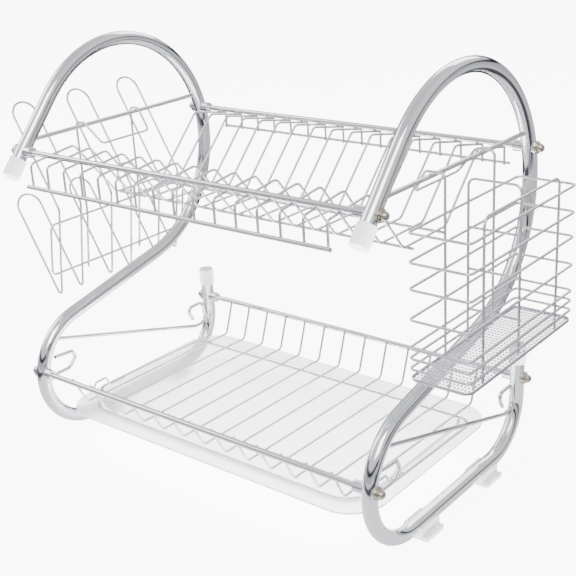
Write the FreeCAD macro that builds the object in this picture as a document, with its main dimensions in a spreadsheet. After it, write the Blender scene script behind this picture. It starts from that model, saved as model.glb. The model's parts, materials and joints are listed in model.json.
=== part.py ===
import FreeCAD, Part
import math
import os

# Two-tier dish drying rack: two S-shaped chromed tube frames joined by four rails, a plate rack
# above, a bowl rack below, a hanging cutlery basket (+X), a hanging cup holder (-X) and a drip tray.
# Frame: +X to the basket end, -Y to the open front, +Z up. The feet stand on z = 0.

doc = FreeCAD.newDocument("dish_rack")
sheet = doc.addObject("Spreadsheet::Sheet", "dims")

DIMENSIONS = [
    # tube frames
    ("frame_span", 380.0),         # between the centre planes of the two S-shaped frames
    ("tube_dia", 13.0),
    ("tube_wall", 1.0),
    ("arch_y", 26.0),              # centre of the big upper arch
    ("arch_rise", 247.5),          # its height above the centreline of the base run
    ("arch_radius", 113.0),
    ("leg_slope", 48.5),           # front leg of the arch, degrees from level
    ("leg_length", 81.0),
    ("front_bend_y", -54.0),       # centre of the lower front bend
    ("front_bend_radius", 56.0),
    ("rear_leg_y", 124.0),
    ("rear_bend_radius", 48.0),
    ("rear_leg_top", 93.0),        # tube end above the centreline of the base run
    # caps and feet
    ("cap_length", 18.0),
    ("cap_wall", 1.2),
    ("cap_end", 3.0),
    ("foot_sole", 3.5),
    ("foot_wall", 2.6),
    ("foot_length", 26.0),
    ("foot_flange", 5.0),
    ("foot_front_y", -38.0),
    ("foot_rear_y", 60.0),
    # rails, bolts and their bosses
    ("rail_dia", 5.0),
    ("boss_dia", 10.0),
    ("boss_length", 7.0),
    ("bolt_dia", 4.0),
    ("bolt_grip", 4.0),            # length of the bolt inside the boss
    ("head_dia", 10.0),
    ("head_height", 1.9),
    ("head_chamfer", 0.7),
    ("dome_dia", 7.6),
    ("dome_neck", 0.6),
    ("washer_dia", 11.5),
    ("washer_thickness", 1.2),
    ("washer_wrap", 1.2),          # how far its curved inner face reaches round the tube
    ("fit_clearance", 0.15),
    ("upper_front_rail_drop", 24.0),   # along the front leg, from the tube end
    ("upper_rear_rail_angle", 13.5),   # on the arch, degrees above level
    ("lower_front_rail_angle", 171.0), # on the front bend, degrees
    ("lower_rear_rail_rise", 64.0),
    # crossbars and scroll braces
    ("crossbar_dia", 4.0),
    ("crossbar_rise", 287.5),
    ("brace_dia", 3.6),
    ("brace_front_y", -96.0),
    ("brace_front_rise", 94.5),
    ("brace_rear_y", 100.0),
    ("brace_rear_rise", 35.5),
    ("scroll_size", 24.0),
    ("hook_rise", 65.0),
    ("hook_width", 16.0),
    ("hook_tip_y", -69.0),
    # upper plate rack
    ("wire_dia", 2.2),
    ("weld_sink", 0.05),
    ("plate_count", 16),
    ("plate_pitch", 21.6),
    ("upper_floor_rise", 224.8),
    ("upper_floor_front_y", -16.0),
    ("upper_floor_rear_y", 46.5),
    ("upper_peak_y", -61.0),
    ("upper_slope", 6.6),          # the wires fall towards the front rail, degrees
    ("upper_back_y", 99.5),
    ("upper_front_drop_y", -111.0),
    ("upper_rear_drop_y", 145.0),
    ("upper_rear_slope", 11.5),    # the wires fall from the back bend to below the rear rail, degrees
    ("drop_end_rise", 252.5),
    ("front_bar_dia", 3.6),
    ("thin_bar_dia", 2.6),
    ("bar_overhang", 4.0),
    # lower rack
    ("bowl_count", 13),
    ("bowl_pitch", 25.3),
    ("lower_front_y", -91.5),
    ("lower_front_rise", 36.5),
    ("lower_rear_y", 108.5),
    ("lower_rear_rise", 32.0),
    ("tip_above_rail", 1.5),
    ("loop_front_y", -66.0),
    ("loop_rear_y", 82.0),
    ("loop_half_width", 169.0),
    ("loop_corner", 14.0),
    ("loop_dia", 2.6),
    ("curl_height", 9.0),
    # drip tray
    ("tray_left_x", -180.0),
    ("tray_right_x", 176.0),
    ("tray_front_y", -102.0),
    ("tray_rear_y", 112.0),
    ("tray_floor_z", 24.5),        # underside of the tray above the table
    ("tray_height", 13.0),
    ("tray_wall", 1.8),
    ("tray_rim", 16.0),
    ("tray_draft", 10.0),          # each wall leans in by this much at the bottom
    ("tray_corner", 34.0),
    # hanging gear
    ("hang_gap", 0.3),             # between a hanging wire and the crossbar it sits on
    ("basket_hook_reach", 17.5),   # from the crossbar inward to the hanging loop
    ("cup_hook_reach", 21.5),
    ("hook_drop", 15.5),
    ("hook_over", 4.5),            # level run past the crossbar before the hook slants down
    ("hook_pinch", 5.0),           # the hooks' inner ends lie this much closer together
    ("hang_bend", 4.5),
    # cutlery basket
    ("basket_gap", 3.5),           # from the tube's side to the first basket wire's axis
    ("basket_width", 51.0),
    ("basket_front_y", -68.0),
    ("basket_rear_y", 98.0),
    ("basket_corner", 4.5),
    ("basket_top_rise", 259.0),
    ("basket_floor_rise", 142.5),
    ("basket_hang_front_y", -20.0),
    ("basket_hang_rear_y", 54.0),
    ("basket_side_front_y", -45.0),
    ("basket_side_rear_y", 72.0),
    ("basket_side_top_rise", 271.5),
    ("divider_y", 14.0),
    ("divider_top_rise", 279.0),
    ("pan_sheet", 1.2),
    ("pan_lip", 2.8),
    ("pan_corner", 8.0),
    # cup holder
    ("cup_gap", 2.5),              # from the tube's side to the upper frame wire's axis
    ("cup_frame_front_y", -70.0),
    ("cup_frame_rear_y", 110.0),
    ("cup_frame_top_rise", 200.0),
    ("cup_frame_low_rise", 148.0),
    ("cup_lean", 7.8),             # how much further out the lower wire lies
    ("cup_pitch", 67.0),
    ("cup_first_y", -44.0),
    ("cup_loop_width", 27.0),
    ("cup_knee_rise", 212.0),
    ("cup_foot_rise", 118.0),
    ("cup_prong_reach", 48.0),     # sideways reach of each prong up to its round end
    ("cup_prong_climb", 84.0),
    ("cup_hang_front_y", -26.0),
    ("cup_hang_rear_y", 44.0),
]
for row, (alias, number) in enumerate(DIMENSIONS, start=1):
    sheet.set(f"A{row}", alias)
    sheet.set(f"B{row}", str(number))
    sheet.setAlias(f"B{row}", alias)
doc.recompute()


def dim(alias):
    return float(sheet.get(alias))


def vec(x, y, z):
    return FreeCAD.Vector(x, y, z)


nodes = {}


def keep(label, item):
    """Name a finished sub-part; its label is the name of its file."""
    item.Label = label
    nodes[label] = item
    return item


# ---------------------------------------------------------------- bent wire and tube
def bent_path(points, radius, closed=False):
    """Straight runs through the points, joined by tangent arcs of one radius (or one radius each)."""
    count = len(points)
    radii = radius if isinstance(radius, (list, tuple)) else [radius] * count
    corners = range(count) if closed else range(1, count - 1)
    enter, leave, arcs = {}, {}, {}
    for i in corners:
        here = points[i]
        back = (points[i - 1] - here).normalize()
        ahead = (points[(i + 1) % count] - here).normalize()
        turn = math.pi - back.getAngle(ahead)
        trim = radii[i] * math.tan(turn / 2)
        middle = (back + ahead).normalize()
        depth = radii[i] / math.cos(turn / 2) - radii[i]
        enter[i] = here + back * trim
        leave[i] = here + ahead * trim
        arcs[i] = Part.Arc(enter[i], here + middle * depth, leave[i]).toShape()
    edges = []
    for i in range(count if closed else count - 1):
        j = (i + 1) % count
        start = leave.get(i, points[i])
        end = enter.get(j, points[j])
        if (end - start).Length > 1e-6:
            edges.append(Part.makeLine(start, end))
        if j in arcs:
            edges.append(arcs[j])
    return Part.Wire(Part.__sortEdges__(edges))


def pipe(path, diameter):
    """A round bar of this diameter along the path."""
    first = path.OrderedEdges[0]
    start = first.valueAt(first.FirstParameter)
    heading = first.tangentAt(first.FirstParameter)
    if first.Orientation == "Reversed":
        start = first.valueAt(first.LastParameter)
        heading = first.tangentAt(first.LastParameter) * -1
    ring = Part.Wire(Part.makeCircle(diameter / 2, start, heading))
    ring.rotate(start, heading, 37)     # keeps the seam away from anything welded on squarely
    solid = path.makePipe(Part.Face(ring))
    if solid.ShapeType != "Solid":
        solid = solid.Solids[0]
    if solid.Volume < 0:
        solid.reverse()
    return solid


def bent_wire(label, path, diameter):
    """One bent wire as a sub-part of its own."""
    item = doc.addObject("Part::Feature", label)
    item.Shape = pipe(path, diameter)
    return keep(label, item)


def wire_set(label, solids):
    """Several equal wires, or the wires of one welded cage, as one sub-part."""
    item = doc.addObject("Part::Feature", label)
    item.Shape = Part.makeCompound(solids)
    return keep(label, item)


# ---------------------------------------------------------------- main positions
half_span = dim("frame_span") / 2
tube_r = dim("tube_dia") / 2
base_z = dim("foot_sole") + tube_r
wire_r = dim("wire_dia") / 2
rail_r = dim("rail_dia") / 2
sink = dim("weld_sink")

arch_c = vec(0, dim("arch_y"), base_z + dim("arch_rise"))
arch_r = dim("arch_radius")
bend_r = dim("front_bend_radius")
bend_c = vec(0, dim("front_bend_y"), base_z + bend_r)

leg_angle = math.radians(dim("leg_slope"))
leg_dir = vec(0, -math.cos(leg_angle), -math.sin(leg_angle))
leg_top = arch_c + vec(0, -math.sin(leg_angle), math.cos(leg_angle)) * arch_r
leg_end = leg_top + leg_dir * dim("leg_length")

# the diagonal run touches the arch from below and the front bend from above
apart = bend_c - arch_c
centre_distance = apart.Length
fall = math.acos((arch_r + bend_r) / centre_distance) - math.atan2(-apart.y, -apart.z)
normal = vec(0, -math.sin(fall), math.cos(fall))
diagonal_top = arch_c - normal * arch_r
diagonal_low = bend_c + normal * bend_r

rear_y = dim("rear_leg_y")
rear_r = dim("rear_bend_radius")
rear_top = vec(0, rear_y, base_z + dim("rear_leg_top"))


def frame_path():
    """Centreline of one S-shaped frame in the plane x = 0."""
    arch_mid = arch_c + vec(0, math.cos(math.radians(10)), math.sin(math.radians(10))) * arch_r
    bend_mid = bend_c + vec(0, -bend_r, 0)
    base_front = bend_c + vec(0, 0, -bend_r)
    base_rear = vec(0, rear_y - rear_r, base_z)
    rear_low = vec(0, rear_y, base_z + rear_r)
    rear_c = vec(0, rear_y - rear_r, base_z + rear_r)
    rear_mid = rear_c + vec(0, math.sin(math.radians(45)), -math.sin(math.radians(45))) * rear_r
    edges = [
        Part.makeLine(leg_end, leg_top),
        Part.Arc(leg_top, arch_mid, diagonal_top).toShape(),
        Part.makeLine(diagonal_top, diagonal_low),
        Part.Arc(diagonal_low, bend_mid, base_front).toShape(),
        Part.makeLine(base_front, base_rear),
        Part.Arc(base_rear, rear_mid, rear_low).toShape(),
        Part.makeLine(rear_low, rear_top),
    ]
    return Part.Wire(edges)


# where the four rails cross each frame
lower_rail_angle = math.radians(dim("lower_front_rail_angle"))
upper_rail_angle = math.radians(dim("upper_rear_rail_angle"))
rails = {
    "upper_front_rail": leg_end - leg_dir * dim("upper_front_rail_drop"),
    "upper_rear_rail": arch_c + vec(0, math.cos(upper_rail_angle), math.sin(upper_rail_angle)) * arch_r,
    "lower_front_rail": bend_c + vec(0, math.cos(lower_rail_angle), math.sin(lower_rail_angle)) * bend_r,
    "lower_rear_rail": vec(0, rear_y, base_z + dim("lower_rear_rail_rise")),
}

def frame_bar(name, diameter):
    """A solid bar along the frame's centreline; swept in code, so its bends are exact torus faces."""
    item = doc.addObject("Part::Feature", name)
    item.Shape = pipe(frame_path(), diameter)
    return item


outer = frame_bar("tube_outside", dim("tube_dia"))
inner = frame_bar("tube_inside", dim("tube_dia") - 2 * dim("tube_wall"))
doc.recompute()


def cylinder_x(name, radius, height, x, y, z):
    """A cylinder along +X from x, with radius and height as expressions."""
    item = doc.addObject("Part::Cylinder", name)
    item.setExpression("Radius", radius)
    item.setExpression("Height", height)
    turn = FreeCAD.Rotation(vec(0, 1, 0), 90)
    item.Placement = FreeCAD.Placement(vec(0, y, z), turn)
    item.setExpression("Placement.Base.x", x)
    return item


def fused(name, items):
    item = doc.addObject("Part::MultiFuse", name)
    item.Shapes = items
    return item


def cut(name, base, tool):
    item = doc.addObject("Part::Cut", name)
    item.Base = base
    item.Tool = tool
    return item


hole_tools = []
for rail_name, at in rails.items():
    hole_tools.append(cylinder_x(
        f"{rail_name}_hole", "dims.bolt_dia / 2 + dims.fit_clearance", "dims.tube_dia * 2",
        "-dims.tube_dia", at.y, at.z))
holes = fused("tube_holes", hole_tools)
bore = fused("tube_voids", [inner, holes])
frame_tube = cut("frame_tube", outer, bore)
doc.recompute()

SIDES = (("left", -1), ("right", 1))
for side, sign in SIDES:
    frame = doc.addObject("Part::Feature", f"{side}_s_frame")
    frame.Shape = frame_tube.Shape.copy()
    frame.setExpression("Placement.Base.x", f"{sign} * dims.frame_span / 2")
    keep(f"{side}_s_frame", frame)

def tube_near(at, sign, reach=22.0):
    """The solid of the tube's outside close to a point of its centreline, in the left or right frame."""
    spot = Part.Vertex(vec(0, at.y, at.z))
    edge = min(frame_path().Edges, key=lambda e: e.distToShape(spot)[0])
    if hasattr(edge.Curve, "Radius"):
        ring = Part.makeTorus(edge.Curve.Radius, tube_r, edge.Curve.Center, vec(1, 0, 0))
        corner = vec(-tube_r * 2, at.y - reach, at.z - reach)
        short = ring.common(Part.makeBox(tube_r * 4, 2 * reach, 2 * reach, corner)).Solids[0]
    else:
        heading = edge.tangentAt(edge.FirstParameter)
        short = Part.makeCylinder(tube_r, 2 * reach, vec(0, at.y, at.z) - heading * reach, heading)
    short.translate(vec(sign * half_span, 0, 0))
    return short


# ---------------------------------------------------------------- caps on the four tube ends
CAP_ROUND = 1.6


def cap(label, x, end, direction):
    """A moulded cap that slips over a tube end and closes it."""
    shell = doc.addObject("Part::Cylinder", f"{label}_shell")
    shell.setExpression("Radius", "dims.tube_dia / 2 + dims.cap_wall")
    shell.setExpression("Height", "dims.cap_length")
    edge = doc.addObject("Part::Fillet", f"{label}_round")
    edge.Base = shell
    doc.recompute()
    top = [i for i, e in enumerate(shell.Shape.Edges, start=1)
           if e.BoundBox.ZMin > dim("cap_length") - 0.01]
    edge.Edges = [(i, CAP_ROUND, CAP_ROUND) for i in top]
    void = doc.addObject("Part::Cylinder", f"{label}_void")
    void.setExpression("Radius", "dims.tube_dia / 2")
    void.setExpression("Height", "dims.cap_length - dims.cap_end")
    item = cut(label, edge, void)
    start = end - direction * (dim("cap_length") - dim("cap_end"))
    item.Placement = FreeCAD.Placement(start + vec(x, 0, 0), FreeCAD.Rotation(vec(0, 0, 1), direction))
    return keep(label, item)


for side, sign in SIDES:
    cap(f"{side}_front_cap", sign * half_span, leg_end, leg_dir)
    cap(f"{side}_rear_cap", sign * half_span, rear_top, vec(0, 0, 1))


# ---------------------------------------------------------------- feet: saddle clips under the base runs
def foot(label, sign, alias):
    width = "(dims.tube_dia + 2 * dims.foot_wall)"
    sole = doc.addObject("Part::Box", f"{label}_sole")
    sole.setExpression("Length", f"{width} + 2 * dims.foot_flange")
    sole.setExpression("Width", "dims.foot_length")
    sole.setExpression("Height", "dims.foot_sole")
    sole.setExpression("Placement.Base.x", f"-({width}) / 2 - dims.foot_flange")
    saddle = doc.addObject("Part::Box", f"{label}_saddle")
    saddle.setExpression("Length", width)
    saddle.setExpression("Width", "dims.foot_length")
    saddle.setExpression("Height", "dims.foot_sole + dims.tube_dia * 0.62")
    saddle.setExpression("Placement.Base.x", f"-({width}) / 2")
    body = fused(f"{label}_body", [sole, saddle])
    seat = doc.addObject("Part::Cylinder", f"{label}_seat")
    seat.setExpression("Radius", "dims.tube_dia / 2")
    seat.setExpression("Height", "dims.foot_length + 2")
    seat.Placement = FreeCAD.Placement(vec(0, -1, base_z), FreeCAD.Rotation(vec(1, 0, 0), -90))
    clip = cut(f"{label}_clip", body, seat)
    doc.recompute()
    soft = doc.addObject("Part::Fillet", label)
    soft.Base = clip
    upright = [i for i, e in enumerate(clip.Shape.Edges, start=1)
               if abs(e.BoundBox.ZLength) > 1 and e.BoundBox.XLength < 0.01 and e.BoundBox.YLength < 0.01
               and abs(e.BoundBox.Center.x) > dim("tube_dia") / 2 + dim("foot_wall") + 1]
    soft.Edges = [(i, 2.0, 2.0) for i in upright]
    soft.setExpression("Placement.Base.x", f"{sign} * dims.frame_span / 2")
    soft.setExpression("Placement.Base.y", f"dims.{alias} - dims.foot_length / 2")
    return keep(label, soft)


for side, sign in SIDES:
    foot(f"{side}_front_foot", sign, "foot_front_y")
    foot(f"{side}_rear_foot", sign, "foot_rear_y")


# ---------------------------------------------------------------- rails with a boss at each end, bolts, washers
def rail(label, at):
    """A round rod that runs from boss to boss."""
    half_rod = "(dims.frame_span / 2 - dims.tube_dia / 2 - dims.boss_length)"
    rod = cylinder_x(f"{label}_rod", "dims.rail_dia / 2", f"2 * {half_rod}", f"-{half_rod}", at.y, at.z)
    return keep(label, rod)


def rail_bosses(label, at):
    """The two bosses of a rail, each hollowed to seat on its tube and bored for its bolt."""
    thread_depth = "(dims.tube_dia / 2 + dims.bolt_grip)"
    blanks, voids = [], []
    for side, sign in SIDES:
        shift = "-dims.frame_span / 2" if sign < 0 else \
            "dims.frame_span / 2 - dims.tube_dia / 2 - dims.boss_length"
        blanks.append(cylinder_x(
            f"{label}_{side}_blank", "dims.boss_dia / 2", "dims.boss_length + dims.tube_dia / 2",
            shift, at.y, at.z))
        tube = doc.addObject("Part::Feature", f"{label}_{side}_tube")
        tube.Shape = tube_near(at, sign)
        shift = "-dims.frame_span / 2" if sign < 0 else f"dims.frame_span / 2 - {thread_depth}"
        thread = cylinder_x(f"{label}_{side}_thread", "dims.bolt_dia / 2", thread_depth, shift, at.y, at.z)
        voids += [tube, thread]
    body = fused(f"{label}_blanks", blanks)
    for count, void in enumerate(voids):
        body = cut(f"{label}_cut_{count}", body, void)
    doc.recompute()
    return keep(label, body)


for rail_name, at in rails.items():
    rail(rail_name, at)
    rail_bosses(rail_name.replace("rail", "bosses"), at)


def bolt(sign, at):
    """A domed cap head outside the tube, with its shank through the tube into the rail's boss."""
    head_r = dim("head_dia") / 2
    dome_r = dim("dome_dia") / 2
    seat_x = tube_r + dim("washer_thickness")
    tall = dim("head_height")
    neck = dim("dome_neck")
    shank = Part.makeCylinder(dim("bolt_dia") / 2, seat_x + tube_r + dim("bolt_grip"),
                              vec(-tube_r - dim("bolt_grip"), 0, 0), vec(1, 0, 0))
    skirt = Part.makeCylinder(head_r, tall, vec(seat_x, 0, 0), vec(1, 0, 0))
    rim = [edge for edge in skirt.Edges
           if edge.BoundBox.XLength < 0.01 and abs(edge.BoundBox.Center.x - seat_x - tall) < 0.01]
    skirt = skirt.makeChamfer(dim("head_chamfer"), rim)
    collar = Part.makeCylinder(dome_r, neck, vec(seat_x + tall, 0, 0), vec(1, 0, 0))
    dome = Part.makeSphere(dome_r, vec(seat_x + tall + neck, 0, 0), vec(1, 0, 0), 0, 90)
    solid = skirt.fuse(collar).fuse(dome).fuse(shank).removeSplitter()
    if sign < 0:
        solid.rotate(vec(0, 0, 0), vec(0, 0, 1), 180)
    solid.translate(vec(sign * half_span, at.y, at.z))
    return solid.Solids[0]


def washer(sign, at):
    """A flat ring between the bolt head and the tube, curved to the tube on its inner face."""
    inner_x = tube_r - dim("washer_wrap")
    depth = dim("washer_thickness") + dim("washer_wrap")
    disc = Part.makeCylinder(dim("washer_dia") / 2, depth, vec(inner_x, 0, 0), vec(1, 0, 0))
    eye = Part.makeCylinder(dim("bolt_dia") / 2, depth, vec(inner_x, 0, 0), vec(1, 0, 0))
    solid = disc.cut(eye)
    if sign < 0:
        solid.rotate(vec(0, 0, 0), vec(0, 0, 1), 180)
    solid.translate(vec(sign * half_span, at.y, at.z))
    solid = solid.cut(tube_near(at, sign))
    return max(solid.Solids, key=lambda s: s.Volume)


for side, sign in SIDES:
    wire_set(f"{side}_bolts", [bolt(sign, at) for at in rails.values()])
    wire_set(f"{side}_washers", [washer(sign, at) for at in rails.values()])


# ---------------------------------------------------------------- crossbars and scroll braces
crossbar_z = base_z + dim("crossbar_rise")
crossbar_r = dim("crossbar_dia") / 2
for side, sign in SIDES:
    rod = doc.addObject("Part::Cylinder", f"{side}_crossbar_rod")
    rod.setExpression("Radius", "dims.crossbar_dia / 2")
    along = (crossbar_z - leg_top.z) / leg_dir.z
    start_y = leg_top.y + leg_dir.y * along
    rise = crossbar_z - arch_c.z
    end_y = arch_c.y + math.sqrt(arch_r ** 2 - rise ** 2)
    rod.Height = end_y - start_y
    rod.Placement = FreeCAD.Placement(vec(sign * half_span, start_y, crossbar_z),
                                      FreeCAD.Rotation(vec(1, 0, 0), -90))
    ends = []
    for end, y in (("front", start_y), ("rear", end_y)):
        tube = doc.addObject("Part::Feature", f"{side}_crossbar_{end}_tube")
        tube.Shape = tube_near(vec(0, y, crossbar_z), sign)
        ends.append(tube)
    keep(f"{side}_crossbar", cut(f"{side}_crossbar", rod, fused(f"{side}_crossbar_tubes", ends)))


def brace_solids(sign):
    """The long brace with its rear scroll, and the short hook in the front bend."""
    diameter = dim("brace_dia")
    front = vec(0, dim("brace_front_y"), base_z + dim("brace_front_rise"))
    rear = vec(0, dim("brace_rear_y"), base_z + dim("brace_rear_rise"))
    size = dim("scroll_size")
    scroll = [
        front,
        rear,
        rear + vec(0, size * 0.72, 0.0),
        rear + vec(0, size * 0.55, size * 1.02),
        rear + vec(0, -size * 0.48, size * 1.0),
        rear + vec(0, -size * 0.12, size * 0.38),
    ]
    bends = [0, size * 0.6, size * 0.34, size * 0.32, size * 0.22, 0]
    half = dim("hook_width") / 2
    mid_z = base_z + dim("hook_rise")
    tip = dim("hook_tip_y")
    start = bend_c.y - bend_r
    hook = [
        vec(0, start, mid_z - half), vec(0, tip - half * 1.2, mid_z - half), vec(0, tip, mid_z + half * 0.1),
        vec(0, tip - half * 0.5, mid_z + half), vec(0, start + 2 * half, mid_z + half * 1.2),
    ]
    hook_bends = [0, half * 0.8, half * 0.4, half * 0.4, 0]
    made = []
    mid_bend = vec(0, start, mid_z)
    for path, touches in ((bent_path(scroll, bends), [front]),
                          (bent_path(hook, hook_bends), [mid_bend])):
        solid = pipe(path, diameter)
        solid.translate(vec(sign * half_span, 0, 0))
        for touch in touches:
            solid = solid.cut(tube_near(touch, sign))
        made.append(max(solid.Solids, key=lambda s: s.Volume))
    return made


for side, sign in SIDES:
    wire_set(f"{side}_scroll_brace", brace_solids(sign))


# ---------------------------------------------------------------- upper plate rack
def tangent_line(rail_at, angle, below):
    """z on the line of this slope that passes the rail at welding distance, as a function of y."""
    slope_normal = vec(0, -math.sin(angle), math.cos(angle))
    offset = slope_normal.dot(rail_at) - (1 if below else -1) * (rail_r + wire_r - sink)
    return lambda y: (offset - slope_normal.y * y) / slope_normal.z


front_line = tangent_line(rails["upper_front_rail"], math.radians(dim("upper_slope")), True)
rear_line = tangent_line(rails["upper_rear_rail"], -math.radians(dim("upper_rear_slope")), True)
floor_z = base_z + dim("upper_floor_rise")
drop_z = base_z + dim("drop_end_rise")


def plate_wire(x):
    points = [
        vec(x, dim("upper_rear_drop_y"), drop_z),
        vec(x, dim("upper_rear_drop_y"), rear_line(dim("upper_rear_drop_y"))),
        vec(x, dim("upper_back_y"), rear_line(dim("upper_back_y"))),
        vec(x, dim("upper_floor_rear_y"), floor_z),
        vec(x, dim("upper_floor_front_y"), floor_z),
        vec(x, dim("upper_peak_y"), front_line(dim("upper_peak_y"))),
        vec(x, dim("upper_front_drop_y"), front_line(dim("upper_front_drop_y"))),
        vec(x, dim("upper_front_drop_y"), drop_z),
    ]
    return pipe(bent_path(points, [0, 2.6, 7, 8, 7, 7, 4, 0]), dim("wire_dia"))


plate_count = int(dim("plate_count"))
plate_pitch = dim("plate_pitch")
plate_x = [(i - (plate_count - 1) / 2) * plate_pitch for i in range(plate_count)]
wire_set("upper_plate_wires", [plate_wire(x) for x in plate_x])
plate_half = plate_x[-1] + dim("bar_overhang")


def straight_bar(label, radius_alias, half_length, y, z):
    item = doc.addObject("Part::Cylinder", label)
    item.setExpression("Radius", f"dims.{radius_alias} / 2")
    item.Height = 2 * half_length
    item.Placement = FreeCAD.Placement(vec(-half_length, y, z), FreeCAD.Rotation(vec(0, 1, 0), 90))
    return keep(label, item)


front_bar_r = dim("front_bar_dia") / 2
thin_bar_r = dim("thin_bar_dia") / 2
straight_bar("upper_front_bar", "front_bar_dia", plate_half,
             dim("upper_front_drop_y") - wire_r - front_bar_r + sink, drop_z + front_bar_r)
rear_bar_y = dim("upper_rear_drop_y") + wire_r + thin_bar_r - sink
straight_bar("upper_rear_bar", "thin_bar_dia", plate_half, rear_bar_y, drop_z + thin_bar_r)
under_floor_z = floor_z - wire_r - thin_bar_r + sink
straight_bar("upper_floor_front_bar", "thin_bar_dia", plate_half, dim("upper_floor_front_y") + 8, under_floor_z)
straight_bar("upper_floor_rear_bar", "thin_bar_dia", plate_half, dim("upper_floor_rear_y") - 9, under_floor_z)


# ---------------------------------------------------------------- lower rack
low_front = vec(0, dim("lower_front_y"), base_z + dim("lower_front_rise"))
low_rear = vec(0, dim("lower_rear_y"), base_z + dim("lower_rear_rise"))


def beside_rail(start, rail_at, inward, above):
    """End of the straight run from start that touches the rail on its inner side."""
    span = rail_at - start
    reach = rail_r + wire_r - sink
    turn = math.asin(reach / span.Length)
    heading = math.atan2(span.z, span.y) + (-turn if inward > 0 else turn)
    direction = vec(0, math.cos(heading), math.sin(heading))
    length = (rail_at.z + above - start.z) / direction.z
    return start + direction * length


low_front_tip = beside_rail(low_front, rails["lower_front_rail"], 1, dim("tip_above_rail"))
low_rear_tip = beside_rail(low_rear, rails["lower_rear_rail"], -1, dim("tip_above_rail"))


def bowl_wire(x):
    points = [p + vec(x, 0, 0) for p in (low_front_tip, low_front, low_rear, low_rear_tip)]
    return pipe(bent_path(points, [0, 5, 5, 0]), dim("wire_dia"))


bowl_count = int(dim("bowl_count"))
bowl_x = [(i - (bowl_count - 1) / 2) * dim("bowl_pitch") for i in range(bowl_count)]
wire_set("lower_rack_wires", [bowl_wire(x) for x in bowl_x])


def under_bowl_wires(y):
    """Height of the loop's axis so that it touches the sloping floor wires from below."""
    slope = (low_rear.z - low_front.z) / (low_rear.y - low_front.y)
    drop = (wire_r + dim("loop_dia") / 2 - sink) / math.cos(math.atan(slope))
    return low_front.z + slope * (y - low_front.y) - drop


loop_half = dim("loop_half_width")
loop_points = [vec(x, y, under_bowl_wires(y)) for x, y in (
    (-loop_half, dim("loop_front_y")), (loop_half, dim("loop_front_y")),
    (loop_half, dim("loop_rear_y")), (-loop_half, dim("loop_rear_y")))]
bent_wire("lower_floor_loop", bent_path(loop_points, dim("loop_corner"), closed=True), dim("loop_dia"))


def front_curl(sign):
    """A short wire beside the loop's side that curls up and over its front corner."""
    x = sign * (loop_half - (dim("loop_dia") + dim("wire_dia")) / 2 + sink * 0.4)
    corner_y = dim("loop_front_y") + dim("loop_corner")
    top = dim("curl_height")
    low = [vec(x, y, under_bowl_wires(y)) for y in (corner_y + 22, corner_y + 2)]
    over = [vec(x, corner_y - 2, low[1].z + top), vec(x, corner_y - 15, low[1].z + top),
            vec(x, corner_y - 20, low[1].z + 2.5)]
    return pipe(bent_path(low + over, 3.0), dim("wire_dia"))


wire_set("lower_floor_curls", [front_curl(-1), front_curl(1)])


# ---------------------------------------------------------------- drip tray
def rounded_plate(x0, x1, y0, y1, z, radius):
    """A closed outline with round corners at height z."""
    points = [vec(x0, y0, z), vec(x1, y0, z), vec(x1, y1, z), vec(x0, y1, z)]
    return bent_path(points, radius, closed=True)


def tray_loft(grow, z0, z1):
    """The tapered well of the tray, larger by grow on every side."""
    rim = dim("tray_rim")
    draft = dim("tray_draft")
    low = rim + draft - grow
    high = rim - grow
    x0, x1 = dim("tray_left_x"), dim("tray_right_x")
    y0, y1 = dim("tray_front_y"), dim("tray_rear_y")
    corner = dim("tray_corner")
    lower = rounded_plate(x0 + low, x1 - low, y0 + low, y1 - low, z0, corner - rim * 0.6)
    upper = rounded_plate(x0 + high, x1 - high, y0 + high, y1 - high, z1, corner - rim * 0.6)
    return Part.makeLoft([lower, upper], True, True)


def tray_shape():
    wall = dim("tray_wall")
    tall = dim("tray_height")
    outline = rounded_plate(dim("tray_left_x"), dim("tray_right_x"), dim("tray_front_y"), dim("tray_rear_y"),
                            tall - wall, dim("tray_corner"))
    flange = Part.Face(outline).extrude(vec(0, 0, wall))
    well = tray_loft(0.0, 0.0, tall)
    hollow = tray_loft(-wall, wall, tall + wall)
    return flange.fuse(well).cut(hollow).removeSplitter().Solids[0]


tray = doc.addObject("Part::Feature", "drip_tray")
tray.Shape = tray_shape()
tray.setExpression("Placement.Base.z", "dims.tray_floor_z")
keep("drip_tray", tray)


# ---------------------------------------------------------------- hangers over the crossbars
hang_z = crossbar_z + crossbar_r + wire_r + dim("hang_gap")


def hanger_path(sign, outside_x, low_points_front, low_points_rear, front_y, rear_y, reach):
    """From the foot of one leg up, over the crossbar, along the inner loop and back down the other leg."""
    bar_x = sign * half_span
    over_x = bar_x - sign * dim("hook_over")
    inner_x = bar_x - sign * reach
    inner_z = crossbar_z - dim("hook_drop")
    pinch = dim("hook_pinch")
    points = list(low_points_front)
    points += [vec(outside_x, front_y, hang_z), vec(over_x, front_y, hang_z)]
    points += [vec(inner_x, front_y + pinch, inner_z), vec(inner_x, rear_y - pinch, inner_z)]
    points += [vec(over_x, rear_y, hang_z), vec(outside_x, rear_y, hang_z)]
    points += list(low_points_rear)
    return bent_path(points, dim("hang_bend"))


# ---------------------------------------------------------------- cutlery basket
ring_in = half_span + tube_r + dim("basket_gap")
ring_out = ring_in + dim("basket_width")
ring_front = dim("basket_front_y")
ring_rear = dim("basket_rear_y")
step = dim("wire_dia") - sink
pan_z = base_z + dim("basket_floor_rise")
pan_top = pan_z + dim("pan_sheet")
ring_fractions = (0.0, 0.193, 0.371, 0.577, 0.771, 0.844, 0.917)
ring_top = base_z + dim("basket_top_rise")


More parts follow.
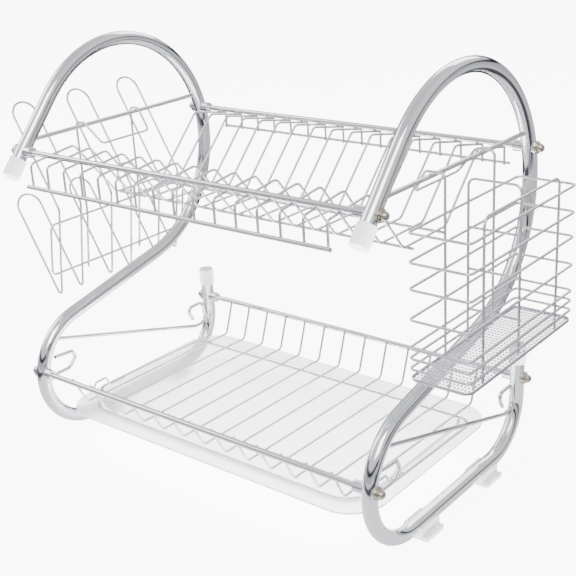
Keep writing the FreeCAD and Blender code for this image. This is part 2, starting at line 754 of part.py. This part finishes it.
def basket_ring(z):
    points = [vec(ring_in, ring_front, z), vec(ring_out, ring_front, z),
              vec(ring_out, ring_rear, z), vec(ring_in, ring_rear, z)]
    return pipe(bent_path(points, dim("basket_corner"), closed=True), dim("wire_dia"))


wire_set("basket_rings", [basket_ring(ring_top - f * (ring_top - pan_z)) for f in ring_fractions])

leg_x = ring_in + step
hang_front, hang_rear = dim("basket_hang_front_y"), dim("basket_hang_rear_y")
bent_wire("basket_hanger", hanger_path(
    1, leg_x, [vec(leg_x, hang_front, pan_top)], [vec(leg_x, hang_rear, pan_top)], hang_front, hang_rear,
    dim("basket_hook_reach")), dim("wire_dia"))

side_x = ring_out - step
side_top = base_z + dim("basket_side_top_rise")
side_points = [
    vec(side_x, dim("basket_side_front_y"), pan_top), vec(side_x, dim("basket_side_front_y"), side_top),
    vec(side_x, dim("basket_side_rear_y"), side_top), vec(side_x, dim("basket_side_rear_y"), pan_top),
]
bent_wire("basket_side_hoop", bent_path(side_points, 8.0), dim("wire_dia"))

divider_top = base_z + dim("divider_top_rise")
divider_x = side_x - step
divider_points = [
    vec(leg_x, dim("divider_y"), pan_top), vec(leg_x, dim("divider_y"), divider_top),
    vec(divider_x, dim("divider_y"), divider_top), vec(divider_x, dim("divider_y"), pan_top),
]
bent_wire("basket_divider", bent_path(divider_points, 6.0), dim("wire_dia"))
cross_y = dim("divider_y") + step
wire_set("basket_divider_bars", [
    Part.makeCylinder(wire_r, side_x - leg_x - step, vec(leg_x, cross_y, divider_top - f * (divider_top - pan_z)),
                      vec(1, 0, 0)) for f in (0.29, 0.54, 0.79)])


def pan_shape():
    """The basket's floor: a shallow sheet pan with round corners and an upright lip."""
    margin = wire_r
    sheet_t = dim("pan_sheet")
    lip = dim("pan_lip")
    x0, x1 = ring_in - margin, ring_out + margin
    y0, y1 = ring_front - margin, ring_rear + margin
    corner = dim("pan_corner")
    outside = Part.Face(rounded_plate(x0, x1, y0, y1, pan_z, corner)).extrude(vec(0, 0, lip))
    inside = Part.Face(rounded_plate(x0 + sheet_t, x1 - sheet_t, y0 + sheet_t, y1 - sheet_t, pan_top,
                                     corner - sheet_t)).extrude(vec(0, 0, lip))
    return outside.cut(inside)


pan = doc.addObject("Part::Feature", "basket_pan")
pan.Shape = pan_shape().Solids[0]
keep("basket_pan", pan)


# ---------------------------------------------------------------- cup holder
frame_x = -(half_span + tube_r + dim("cup_gap"))
top_z = base_z + dim("cup_frame_top_rise")
low_z = base_z + dim("cup_frame_low_rise")
lean = dim("cup_lean")
cup_front, cup_rear = dim("cup_frame_front_y"), dim("cup_frame_rear_y")
cup_frame = [vec(frame_x, cup_front, top_z), vec(frame_x, cup_rear, top_z),
             vec(frame_x - lean, cup_rear, low_z), vec(frame_x - lean, cup_front, low_z)]
bent_wire("cup_frame", bent_path(cup_frame, 6.0, closed=True), dim("wire_dia"))

plane_slope = lean / (top_z - low_z)
plane_cos = math.cos(math.atan(plane_slope))


def back_x(z, offset):
    """x of the leaning back plane at height z, moved outward by offset."""
    return frame_x - (top_z - z) * plane_slope - offset / plane_cos


def cup_loop(y):
    """One closed wire: lower prong, back run and upper prong, with a round end on each prong."""
    half = dim("cup_loop_width") / 2
    knee_z = base_z + dim("cup_knee_rise")
    foot_z = base_z + dim("cup_foot_rise")
    knee = vec(back_x(knee_z, step), 0, knee_z)
    low = vec(back_x(foot_z, step), 0, foot_z)
    reach = vec(-dim("cup_prong_reach"), 0, dim("cup_prong_climb"))
    upper_tip = knee + reach
    lower_tip = low + reach
    rise = vec(reach.x, 0, reach.z).normalize() * half
    front, rear = vec(0, y - half, 0), vec(0, y + half, 0)
    middle = vec(0, y, 0)
    foot_bend, knee_bend = 3.0, 9.0

    def leg(side):
        return bent_path([lower_tip + side, low + side, knee + side, upper_tip + side],
                         [0, foot_bend, knee_bend, 0]).Edges

    upper = Part.Arc(upper_tip + front, upper_tip + rise + middle, upper_tip + rear).toShape()
    lower = Part.Arc(lower_tip + rear, lower_tip + rise + middle, lower_tip + front).toShape()
    edges = leg(front) + [upper] + leg(rear) + [lower]
    return pipe(Part.Wire(Part.__sortEdges__(edges)), dim("wire_dia"))


cup_y = [dim("cup_first_y") + i * dim("cup_pitch") for i in range(3)]
wire_set("cup_loops", [cup_loop(y) for y in cup_y])

hang_x = back_x(top_z, -step)


def cup_leg(y):
    low = low_z - 4.0
    return [vec(back_x(low, -step), y, low), vec(back_x(top_z, -step), y, top_z)]


front_leg = cup_leg(dim("cup_hang_front_y"))
rear_leg = cup_leg(dim("cup_hang_rear_y"))
bent_wire("cup_hanger", hanger_path(
    -1, hang_x, front_leg, rear_leg[::-1], dim("cup_hang_front_y"), dim("cup_hang_rear_y"),
    dim("cup_hook_reach")), dim("wire_dia"))


# ---------------------------------------------------------------- checks and export
# the origin is moved to the middle of the whole rack's footprint
prong = vec(-dim("cup_prong_reach"), 0, dim("cup_prong_climb"))
prong_tip_x = back_x(base_z + dim("cup_foot_rise"), step) + prong.x
left_edge = prong_tip_x + prong.normalize().x * dim("cup_loop_width") / 2 - wire_r
right_edge = ring_out + wire_r
cap_r = tube_r + dim("cap_wall")
front_edge = leg_end.y + leg_dir.y * (dim("cap_end") - CAP_ROUND) + leg_dir.z * (cap_r - CAP_ROUND) - CAP_ROUND
rear_edge = rear_bar_y + thin_bar_r
for row, (alias, number) in enumerate(
        (("origin_x", (left_edge + right_edge) / 2), ("origin_y", (front_edge + rear_edge) / 2)),
        start=len(DIMENSIONS) + 1):
    sheet.set(f"A{row}", alias)
    sheet.set(f"B{row}", f"{number:.3f}")
    sheet.setAlias(f"B{row}", alias)
doc.recompute()
for item in nodes.values():
    bound = {path.lstrip("."): rule for path, rule in item.ExpressionEngine}
    for axis in ("x", "y"):
        path = f"Placement.Base.{axis}"
        rule = bound.get(path, str(getattr(item.Placement.Base, axis)))
        item.setExpression(path, f"({rule}) - dims.origin_{axis}")
doc.recompute()
print(f"origin {dim('origin_x'):.3f} {dim('origin_y'):.3f}")
for item in doc.Objects:
    if "Invalid" in item.State or "Error" in item.State:
        raise RuntimeError(f"{item.Name} failed: {item.State}")
for label, item in nodes.items():
    if item.Shape.isNull() or not item.Shape.isValid() or not item.Shape.Solids:
        raise RuntimeError(f"{label} has no valid shape")

os.makedirs("parts", exist_ok=True)
for label, item in nodes.items():
    item.Shape.exportStep(f"parts/{label}.step")
    box = item.Shape.BoundBox
    print(f"{label}: {len(item.Shape.Solids)} solids, {item.Shape.Volume:.0f} mm3, "
          f"x {box.XMin:.1f} {box.XMax:.1f} y {box.YMin:.1f} {box.YMax:.1f} z {box.ZMin:.1f} {box.ZMax:.1f}")
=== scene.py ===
import json
import math
import bpy
import bmesh
from mathutils import Matrix, Vector


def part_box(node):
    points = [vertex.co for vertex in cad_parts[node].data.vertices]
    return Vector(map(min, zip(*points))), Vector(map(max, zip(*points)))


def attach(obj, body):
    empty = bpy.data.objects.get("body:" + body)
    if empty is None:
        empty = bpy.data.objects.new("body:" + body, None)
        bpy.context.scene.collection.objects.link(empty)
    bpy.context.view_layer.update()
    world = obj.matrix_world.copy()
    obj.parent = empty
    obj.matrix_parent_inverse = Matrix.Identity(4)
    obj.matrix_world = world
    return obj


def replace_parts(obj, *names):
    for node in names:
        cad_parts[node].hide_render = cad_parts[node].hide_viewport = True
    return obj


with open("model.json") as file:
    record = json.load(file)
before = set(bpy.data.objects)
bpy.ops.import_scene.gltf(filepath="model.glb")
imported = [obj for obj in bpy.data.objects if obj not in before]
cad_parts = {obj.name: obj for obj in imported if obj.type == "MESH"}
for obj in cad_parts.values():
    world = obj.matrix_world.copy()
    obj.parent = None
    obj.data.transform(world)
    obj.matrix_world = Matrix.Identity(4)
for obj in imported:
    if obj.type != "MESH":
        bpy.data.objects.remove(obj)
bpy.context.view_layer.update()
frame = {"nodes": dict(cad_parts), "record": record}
nodes = frame["nodes"]
record = frame["record"]
MM = 0.001

# the basket's pan, in millimetres
PAN_CORNER = 8.0               # outside radius of its corners
RIM_PROFILE_HEIGHT = 4.0       # the rim's profile is drawn this high and scaled to the pan
MESH_INSET = 1.4               # the mesh's edge lies this far inside the pan's, under the rim's fold
MESH_RISE = 0.95               # middle of the mesh above the pan's underside
MESH_LEAN = 0.4                # how far the strands' joints lie above and below the middle
DIAMOND = (3.1, 4.6)           # width and length of one diamond
STRAND = 0.9

# the studio
FLOOR_RADIUS = 14.0
FLOOR_DROP = 0.0002            # the floor's surface is this far below the feet
FLOOR_GLOW = 8.0
BACKDROP_GLOW = 9.0
DOME_GLOW = 1.1
PAINTED_REFLECTION_END = 0.33               # in reflections the floor's painted reflection bands, grey and dark, end this far from the middle
# painted reflection: colours the floor shows only in the metal's reflections, grey and dark bands from the
# middle out
FLOOR_PAINTED_REFLECTION = [
    (0.0, (0.95, 0.95, 0.96)), (0.12, (0.88, 0.88, 0.90)), (0.15, (0.03, 0.03, 0.04)),
    (0.22, (0.06, 0.06, 0.07)), (0.29, (0.55, 0.55, 0.58)), (1.0, (0.76, 0.76, 0.79)),
]
# the dome's tone, from the horizon at 0 to straight up at 1
DOME_BANDS = [
    (0.0, (0.62, 0.63, 0.66)), (0.10, (0.50, 0.51, 0.54)), (0.14, (0.03, 0.033, 0.04)),
    (0.21, (0.05, 0.053, 0.062)), (0.28, (0.85, 0.85, 0.87)), (0.42, (1.0, 1.0, 1.0)),
    (0.75, (1.0, 1.0, 1.0)), (1.0, (0.78, 0.79, 0.81)),
]
LIGHT_AIM = (0, 0, 0.15)
# name, place, size and power
AREA_LIGHTS = [
    ("key", (0.9, -1.2, 1.6), (1.2, 1.2), 26.0),
    ("left_fill", (-1.5, -0.5, 1.1), (1.0, 1.4), 14.0),
    ("back", (-0.4, 1.6, 1.5), (1.6, 0.9), 16.0),
]

# the camera: its place, its axes before it is rolled, its roll and its lens
CAMERA_PLACE = (0.6149, -0.7032, 0.5208)
CAMERA_BACK = Vector((0.5977, -0.7140, 0.3645))
CAMERA_RIGHT = Vector((0.7668, 0.6419, 0.0))
CAMERA_UP = Vector((-0.2340, 0.2795, 0.9312))
CAMERA_ROLL = math.radians(-3.34)
LENS_MM = 68.46
SENSOR_MM = 36.0


# ---------------------------------------------------------------- node helpers
class Nodes:
    """A short way to lay out a shader tree."""

    def __init__(self, tree):
        self.tree = tree

    def add(self, kind, inputs=None, **settings):
        node = self.tree.nodes.new(kind)
        for name, value in settings.items():
            setattr(node, name, value)
        for name, value in (inputs or {}).items():
            if isinstance(value, bpy.types.NodeSocket):
                self.tree.links.new(value, node.inputs[name])
            else:
                node.inputs[name].default_value = value
        return node

    def ramp(self, factor, stops):
        node = self.add("ShaderNodeValToRGB", {"Fac": factor})
        elements = node.color_ramp.elements
        while len(elements) < len(stops):
            elements.new(0.5)
        for element, (place, colour) in zip(elements, stops):
            element.position = place
            element.color = (*colour, 1.0)
        return node.outputs["Color"]

    def spread(self, factor, low, high):
        node = self.add("ShaderNodeMapRange", {"Value": factor, "To Min": low, "To Max": high})
        return node.outputs["Result"]

    def noise(self, vector, scale, detail=4.0, roughness=0.5):
        node = self.add("ShaderNodeTexNoise", {"Vector": vector, "Scale": scale, "Detail": detail,
                                               "Roughness": roughness})
        return node.outputs["Fac"]

    def bump(self, height, strength, distance):
        node = self.add("ShaderNodeBump", {"Height": height, "Strength": strength, "Distance": distance})
        return node.outputs["Normal"]


def material(name, fixed, build):
    """A principled material: fixed holds uniform socket values, build returns the textured sockets."""
    made = bpy.data.materials.new(name)
    made.use_nodes = True
    made.node_tree.nodes.clear()
    kit = Nodes(made.node_tree)
    place = kit.add("ShaderNodeTexCoord").outputs["Object"]
    shader = kit.add("ShaderNodeBsdfPrincipled", fixed)
    for socket, output in build(kit, place).items():
        made.node_tree.links.new(output, shader.inputs[socket])
    out = kit.add("ShaderNodeOutputMaterial")
    made.node_tree.links.new(shader.outputs["BSDF"], out.inputs["Surface"])
    return made


# ---------------------------------------------------------------- materials
def polished(light, dark, rough_low, rough_high, pit, scale=1.0):
    """Plated metal: cloudy tint, wiped roughness, fine pits in the plating."""
    def build(kit, place):
        cloud = kit.noise(place, 38.0 * scale, 3.0)
        wipe = kit.noise(place, 210.0 * scale, 5.0, 0.6)
        grain = kit.noise(place, 1500.0 * scale, 3.0)
        return {
            "Base Color": kit.ramp(cloud, [(0.3, dark), (0.7, light)]),
            "Roughness": kit.spread(wipe, rough_low, rough_high),
            "Normal": kit.bump(grain, pit, 0.00004),
        }
    return build


def moulded(light, dark, rough_low, rough_high, orange_peel, spots):
    """Moulded plastic: slight mottling and an orange-peel surface."""
    def build(kit, place):
        mottle = kit.noise(place, spots, 4.0)
        peel = kit.noise(place, 900.0, 2.0)
        return {
            "Base Color": kit.ramp(mottle, [(0.3, dark), (0.7, light)]),
            "Roughness": kit.spread(peel, rough_low, rough_high),
            "Normal": kit.bump(peel, orange_peel, 0.00008),
        }
    return build


chrome_tube = material("chrome_tube", {"Metallic": 1.0},
                       polished((0.84, 0.85, 0.87), (0.78, 0.79, 0.82), 0.03, 0.08, 0.10))
chrome_wire = material("chrome_wire", {"Metallic": 1.0},
                       polished((0.76, 0.77, 0.79), (0.66, 0.67, 0.69), 0.26, 0.38, 0.25, 1.6))
nickel = material("nickel_bolt", {"Metallic": 1.0},
                  polished((0.56, 0.52, 0.43), (0.47, 0.43, 0.35), 0.12, 0.24, 0.25, 1.4))
pan_metal = material("pan_metal", {"Metallic": 1.0},
                     polished((0.80, 0.80, 0.87), (0.62, 0.62, 0.70), 0.16, 0.30, 0.35, 1.8))
white_cap = material("white_cap", {"Metallic": 0.0, "Subsurface Weight": 0.15, "Subsurface Scale": 0.003},
                     moulded((0.90, 0.90, 0.89), (0.84, 0.84, 0.83), 0.28, 0.42, 0.25, 160.0))
washer = material("washer_metal", {"Metallic": 1.0},
                  polished((0.72, 0.71, 0.68), (0.62, 0.61, 0.58), 0.16, 0.30, 0.30, 1.4))
foot = material("foot_plastic", {"Metallic": 0.0, "Transmission Weight": 0.35, "IOR": 1.47},
                moulded((0.86, 0.87, 0.87), (0.78, 0.79, 0.80), 0.34, 0.50, 0.35, 120.0))
tray = material("tray_plastic", {"Metallic": 0.0, "Transmission Weight": 0.68, "IOR": 1.42},
                moulded((0.95, 0.96, 0.97), (0.91, 0.92, 0.94), 0.14, 0.24, 0.20, 25.0))

FINISH = {
    "chrome_tube": chrome_tube, "chrome_wire": chrome_wire, "nickel_bolt": nickel, "pan_metal": pan_metal,
    "white_cap": white_cap, "washer_metal": washer, "foot_plastic": foot, "tray_plastic": tray,
}
for entry in record["subparts"]:
    part = nodes[entry["node"]]
    part.data.materials.clear()
    part.data.materials.append(FINISH[entry["material_slot"]])


# ---------------------------------------------------------------- the basket's expanded-metal floor
def link(name, mesh, body, slot):
    piece = bpy.data.objects.new(name, mesh)
    bpy.context.scene.collection.objects.link(piece)
    piece.data.materials.append(FINISH[slot])
    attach(piece, body)
    return piece


def rounded_outline(low, high, inset, radius, z, steps=8):
    """Points round a rectangle with round corners, inset from the box."""
    x0, x1 = low.x + inset, high.x - inset
    y0, y1 = low.y + inset, high.y - inset
    corners = (
        (x1 - radius, y1 - radius, 0), (x0 + radius, y1 - radius, 90),
        (x0 + radius, y0 + radius, 180), (x1 - radius, y0 + radius, 270),
    )
    points = []
    for cx, cy, start in corners:
        for i in range(steps + 1):
            turn = math.radians(start + 90 * i / steps)
            points.append(Vector((cx + radius * math.cos(turn), cy + radius * math.sin(turn), z)))
    return points


def finished_mesh(bm, name):
    mesh = bpy.data.meshes.new(name)
    bm.to_mesh(mesh)
    bm.free()
    return mesh


pan_low, pan_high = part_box("basket_pan")


def pan_rim():
    """The pan's edge: an upright lip rolled outward at the top and folded under at the bottom."""
    lip = pan_high.z - pan_low.z
    # inset from the pan's outside and height above its underside, in millimetres
    profile = [
        (1.7, 0.0), (0.6, 0.0), (0.15, 0.4), (0.0, 1.2), (0.0, 3.0), (0.35, 3.8), (0.8, 4.0),
        (1.25, 3.7), (1.4, 3.0), (1.1, 2.4), (0.8, 2.2), (0.8, 1.6), (1.0, 1.3), (1.7, 1.2),
    ]
    bm = bmesh.new()
    rings = []
    for inset, rise in profile:
        outline = rounded_outline(
            pan_low, pan_high, inset * MM, (PAN_CORNER - inset) * MM,
            pan_low.z + rise / RIM_PROFILE_HEIGHT * lip)
        rings.append([bm.verts.new(p) for p in outline])
    for a, b in zip(rings, rings[1:] + rings[:1]):
        for i in range(len(a)):
            j = (i + 1) % len(a)
            bm.faces.new((a[i], a[j], b[j], b[i]))
    bmesh.ops.recalc_face_normals(bm, faces=bm.faces)
    for face in bm.faces:
        face.smooth = True
    piece = link("basket_pan_rim", finished_mesh(bm, "basket_pan_rim"), "basket", "pan_metal")
    piece.modifiers.new("round", "SUBSURF").render_levels = 2
    return piece


def pan_mesh():
    """Diamond mesh inside the rim, with strands that lean a little as on slit and stretched sheet."""
    half_x, half_y = (size * MM / 2 for size in DIAMOND)
    z = pan_low.z + MESH_RISE * MM
    inset, radius = MESH_INSET * MM, (PAN_CORNER - MESH_INSET) * MM
    x0, x1 = pan_low.x + inset, pan_high.x - inset
    y0, y1 = pan_low.y + inset, pan_high.y - inset

    def held(x, y):
        """The point itself, or the nearest one on the round-cornered edge where it is outside."""
        near_x = min(max(x, x0 + radius), x1 - radius)
        near_y = min(max(y, y0 + radius), y1 - radius)
        reach = math.hypot(x - near_x, y - near_y)
        share = min(1.0, radius / reach) if reach else 1.0
        return near_x + (x - near_x) * share, near_y + (y - near_y) * share, share == 1.0

    bm = bmesh.new()
    joints = {}

    def joint(i, j):
        if (i, j) not in joints:
            lean = MESH_LEAN * MM if i % 2 else -MESH_LEAN * MM
            x, y, free = held(x0 + i * half_x, y0 + j * half_y)
            joints[i, j] = bm.verts.new((x, y, z + (lean if free else 0.0)))
        return joints[i, j]

    for i in range(int((x1 - x0) / half_x) + 1):
        for j in range(int((y1 - y0) / half_y) + 1):
            free = held(x0 + i * half_x, y0 + j * half_y)[2]
            if (i + j) % 2 == 0 and free:
                bm.faces.new((joint(i - 1, j), joint(i, j - 1), joint(i + 1, j), joint(i, j + 1)))
    piece = link("basket_pan_mesh", finished_mesh(bm, "basket_pan_mesh"), "basket", "pan_metal")
    strands = piece.modifiers.new("strands", "WIREFRAME")
    strands.thickness = STRAND * MM
    strands.use_boundary = True
    strands.use_even_offset = False
    return piece


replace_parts(pan_rim(), "basket_pan")
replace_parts(pan_mesh(), "basket_pan")


# ---------------------------------------------------------------- floor, light and camera
def area_light(name, place, size, power):
    data = bpy.data.lights.new(name, "AREA")
    data.shape = "RECTANGLE"
    data.size, data.size_y = size
    data.energy = power
    lamp = bpy.data.objects.new(name, data)
    lamp.location = place
    lamp.rotation_euler = (Vector(LIGHT_AIM) - Vector(place)).to_track_quat("-Z", "Y").to_euler()
    bpy.context.scene.collection.objects.link(lamp)


def join(tree, node, sources):
    """Links sources, given as {index of the node's input: output}."""
    for index, source in sources.items():
        tree.links.new(source, node.inputs[index])


def floor():
    """A pale disc that gives light; in the metal's reflections its colour turns to painted grey and dark
    bands, so it ends like a table top and paints grey bands on the metal.
    """
    bm = bmesh.new()
    bmesh.ops.create_circle(bm, cap_ends=True, segments=64, radius=FLOOR_RADIUS)
    piece = bpy.data.objects.new("studio_floor", finished_mesh(bm, "studio_floor"))
    piece.location.z = -FLOOR_DROP
    bpy.context.scene.collection.objects.link(piece)

    def build(kit, place):
        paper = kit.ramp(kit.noise(place, 1.5, 2.0), [(0.0, (0.96, 0.96, 0.96)), (1.0, (0.98, 0.98, 0.98))])
        path = kit.add("ShaderNodeLightPath").outputs
        # painted reflection: reflection rays see grey and dark bands instead of the pale floor, which
        # paints grey bands on the chrome
        mirrored = kit.add("ShaderNodeMath", operation="SUBTRACT", use_clamp=True)
        join(kit.tree, mirrored, {0: path["Is Glossy Ray"], 1: path["Is Transmission Ray"]})
        reach = kit.add("ShaderNodeVectorMath", {"Vector": place}, operation="LENGTH").outputs["Value"]
        painted_reflection = kit.ramp(kit.spread(reach, 0.0, PAINTED_REFLECTION_END), FLOOR_PAINTED_REFLECTION)
        paper_and_painted_reflection = kit.add("ShaderNodeMix", data_type="RGBA")
        join(kit.tree, paper_and_painted_reflection, {0: mirrored.outputs[0], 6: paper, 7: painted_reflection})
        return {
            "Base Color": paper_and_painted_reflection.outputs[2],
            "Emission Strength": kit.spread(mirrored.outputs[0], FLOOR_GLOW, 0.0),
        }

    fixed = {"Roughness": 0.9, "Specular IOR Level": 0.1, "Emission Color": (1.0, 1.0, 1.0, 1.0)}
    piece.data.materials.append(material("studio_floor", fixed, build))


def studio_world():
    """A banded dome that the metal reflects, and a plain white backdrop for the camera."""
    world = bpy.data.worlds.new("studio")
    bpy.context.scene.world = world
    world.use_nodes = True
    tree = world.node_tree
    tree.nodes.clear()
    kit = Nodes(tree)
    direction = kit.add("ShaderNodeTexCoord").outputs["Generated"]
    height = kit.add("ShaderNodeSeparateXYZ", {"Vector": direction}).outputs["Z"]
    bands = kit.ramp(kit.spread(height, 0.0, 1.0), DOME_BANDS)
    dome = kit.add("ShaderNodeBackground", {"Color": bands, "Strength": DOME_GLOW})
    paper = kit.add("ShaderNodeBackground", {"Color": (1.0, 1.0, 1.0, 1.0), "Strength": BACKDROP_GLOW})
    direct = kit.add("ShaderNodeLightPath").outputs["Is Camera Ray"]
    backdrop = kit.add("ShaderNodeMixShader")
    join(tree, backdrop, {0: direct, 1: dome.outputs[0], 2: paper.outputs[0]})
    out = kit.add("ShaderNodeOutputWorld")
    tree.links.new(backdrop.outputs[0], out.inputs["Surface"])


def studio_camera():
    data = bpy.data.cameras.new("camera")
    data.lens = LENS_MM
    data.sensor_width = SENSOR_MM
    data.clip_start = 0.01
    camera = bpy.data.objects.new("camera", data)
    bpy.context.scene.collection.objects.link(camera)
    right = CAMERA_RIGHT * math.cos(CAMERA_ROLL) + CAMERA_UP * math.sin(CAMERA_ROLL)
    up = CAMERA_UP * math.cos(CAMERA_ROLL) - CAMERA_RIGHT * math.sin(CAMERA_ROLL)
    turn = Matrix((right, up, CAMERA_BACK)).transposed().to_4x4()
    camera.matrix_world = Matrix.Translation(CAMERA_PLACE) @ turn
    bpy.context.scene.camera = camera


floor()
studio_world()
for lamp in AREA_LIGHTS:
    area_light(*lamp)
studio_camera()
